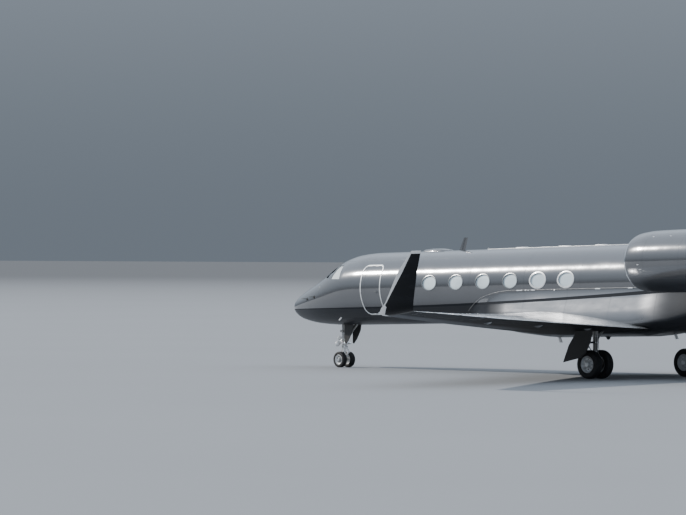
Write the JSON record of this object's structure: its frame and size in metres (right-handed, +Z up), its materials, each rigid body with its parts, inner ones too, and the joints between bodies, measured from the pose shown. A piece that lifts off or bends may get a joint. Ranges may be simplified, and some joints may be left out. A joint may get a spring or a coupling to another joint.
{
  "type": "business jet",
  "caption": "Large-cabin business jet standing on its gear: low swept wing with winglets, rear nacelles on pylons, T-tail, oval cabin windows, airstair door.",
  "frame": {"origin": "on the ground, below the middle of the whole jet's length and span", "axes": "+X towards the tail, +Y to starboard, +Z up; the airframe stands 1.47 degrees nose down about Y"},
  "size_m": [29.2532, 28.52, 7.8781],
  "materials": {
    "body_skin": "gloss",
    "composite_skin": "gloss",
    "wing_skin": "satin",
    "tail_skin": "gloss",
    "panel_skin": "satin",
    "black_skin": "gloss",
    "glazing": "polished",
    "window_shade": "gloss",
    "cabin_liner": "matte",
    "panel_plastic": "matte",
    "seat_leather": "satin",
    "fan_metal": "satin",
    "engine_metal": "satin",
    "gear_paint": "satin",
    "dark_paint": "satin",
    "rim_metal": "satin",
    "nose_rim_paint": "satin",
    "tyre": "matte"
  },
  "bodies": {
    "airframe": {"radome": "composite_skin", "fuselage_nose": "body_skin", "fuselage_cabin": "body_skin", "fuselage_tail": "body_skin", "windshield": "glazing", "cabin_windows_left": "window_shade", "cabin_windows_right": "window_shade", "cabin_floor": "cabin_liner", "cockpit_bulkhead": "cabin_liner", "instrument_panel": "panel_plastic", "crew_seat_left": "seat_leather", "crew_seat_right": "seat_leather", "wing_fairing": "composite_skin", "wing_left": "wing_skin", "wing_right": "wing_skin", "winglet_left": "black_skin", "winglet_right": "black_skin", "tailplane": "tail_skin", "fin": "tail_skin", "nacelle_left": "tail_skin", "nacelle_right": "tail_skin", "pylon_left": "tail_skin", "pylon_right": "tail_skin", "engine_core_left": "engine_metal", "engine_core_right": "engine_metal", "antenna_fairing": "composite_skin", "antenna_blade": "composite_skin", "main_leg_left": "gear_paint", "main_leg_right": "gear_paint", "main_leg_door_left": "dark_paint", "main_leg_door_right": "dark_paint", "nose_leg": "gear_paint", "nose_gear_door_left": "dark_paint", "nose_gear_door_right": "dark_paint"},
    "airstair": {"entry_door": "body_skin"},
    "flap_left": {"flap_left": "panel_skin"},
    "flap_right": {"flap_right": "panel_skin"},
    "aileron_left": {"aileron_left": "panel_skin"},
    "aileron_right": {"aileron_right": "panel_skin"},
    "spoiler_left": {"spoiler_left": "panel_skin"},
    "spoiler_right": {"spoiler_right": "panel_skin"},
    "elevator_left": {"elevator_left": "panel_skin"},
    "elevator_right": {"elevator_right": "panel_skin"},
    "rudder": {"rudder": "panel_skin"},
    "fan_left": {"fan_left": "fan_metal"},
    "fan_right": {"fan_right": "fan_metal"},
    "nose_steering": {"nose_fork": "gear_paint"},
    "nose_wheels": {"nose_tyre_left": "tyre", "nose_tyre_right": "tyre", "nose_rim_left": "nose_rim_paint", "nose_rim_right": "nose_rim_paint"},
    "main_wheels_left": {"main_tyre_left_inner": "tyre", "main_tyre_left_outer": "tyre", "main_rim_left_inner": "rim_metal", "main_rim_left_outer": "rim_metal"},
    "main_wheels_right": {"main_tyre_right_inner": "tyre", "main_tyre_right_outer": "tyre", "main_rim_right_inner": "rim_metal", "main_rim_right_outer": "rim_metal"}
  },
  "joints": [
    {"name": "door_hinge", "type": "hinge", "parent": "airframe", "child": "airstair", "pos_m": [-9.696, -0.8597, 1.8511], "axis": [0.9997, 0, 0.0257], "range_deg": [0, 130]},
    {"name": "flap_left_hinge", "type": "hinge", "parent": "airframe", "child": "flap_left", "pos_m": [2.0329, -1.75, 1.4595], "axis": [-0.183, 0.9822, -0.0429], "range_deg": [0, 39]},
    {"name": "flap_right_hinge", "type": "hinge", "parent": "airframe", "child": "flap_right", "pos_m": [2.0329, 1.75, 1.4595], "axis": [0.183, 0.9822, 0.0429], "range_deg": [0, 39]},
    {"name": "aileron_left_hinge", "type": "hinge", "parent": "airframe", "child": "aileron_left", "pos_m": [3.9006, -9.95, 1.9626], "axis": [-0.3022, 0.9519, -0.0504], "range_deg": [-11, 11]},
    {"name": "aileron_right_hinge", "type": "hinge", "parent": "airframe", "child": "aileron_right", "pos_m": [3.9006, 9.95, 1.9626], "axis": [0.3022, 0.9519, 0.0504], "range_deg": [-11, 11]},
    {"name": "spoiler_left_hinge", "type": "hinge", "parent": "airframe", "child": "spoiler_left", "pos_m": [1.7579, -3.3, 1.8443], "axis": [0.1834, -0.9824, 0.0356], "range_deg": [0, 55]},
    {"name": "spoiler_right_hinge", "type": "hinge", "parent": "airframe", "child": "spoiler_right", "pos_m": [1.7579, 3.3, 1.8443], "axis": [-0.1834, -0.9824, -0.0356], "range_deg": [0, 55]},
    {"name": "elevator_left_hinge", "type": "hinge", "parent": "airframe", "child": "elevator_left", "pos_m": [12.2775, -0.42, 7.6467], "axis": [-0.386, 0.9224, -0.0099], "range_deg": [-24, 13]},
    {"name": "elevator_right_hinge", "type": "hinge", "parent": "airframe", "child": "elevator_right", "pos_m": [12.2775, 0.42, 7.6467], "axis": [0.386, 0.9224, 0.0099], "range_deg": [-24, 13]},
    {"name": "rudder_hinge", "type": "hinge", "parent": "airframe", "child": "rudder", "pos_m": [11.3243, 0, 4.7213], "axis": [0.361, 0, 0.9326], "range_deg": [-22, 22]},
    {"name": "fan_left_spin", "type": "hinge", "parent": "airframe", "child": "fan_left", "pos_m": [4.5784, -2.55, 3.6178], "axis": [0.9997, 0, 0.0257], "continuous": true},
    {"name": "fan_right_spin", "type": "hinge", "parent": "airframe", "child": "fan_right", "pos_m": [4.5784, 2.55, 3.6178], "axis": [0.9997, 0, 0.0257], "continuous": true},
    {"name": "nose_steer", "type": "hinge", "parent": "airframe", "child": "nose_steering", "pos_m": [-12.246, 0, 0.6], "axis": [0, 0, 1], "range_deg": [-80, 80]},
    {"name": "nose_wheel_spin", "type": "hinge", "parent": "nose_steering", "child": "nose_wheels", "pos_m": [-12.246, 0, 0.2665], "axis": [0, 1, 0], "continuous": true},
    {"name": "main_left_spin", "type": "hinge", "parent": "airframe", "child": "main_wheels_left", "pos_m": [1.534, -2.185, 0.4445], "axis": [0, 1, 0], "continuous": true},
    {"name": "main_right_spin", "type": "hinge", "parent": "airframe", "child": "main_wheels_right", "pos_m": [1.534, 2.185, 0.4445], "axis": [0, 1, 0], "continuous": true}
  ],
  "couplings": [
    {"joint": "flap_right_hinge", "follows": "flap_left_hinge", "ratio": 1},
    {"joint": "aileron_right_hinge", "follows": "aileron_left_hinge", "ratio": -1},
    {"joint": "spoiler_right_hinge", "follows": "spoiler_left_hinge", "ratio": 1},
    {"joint": "elevator_right_hinge", "follows": "elevator_left_hinge", "ratio": 1}
  ]
}
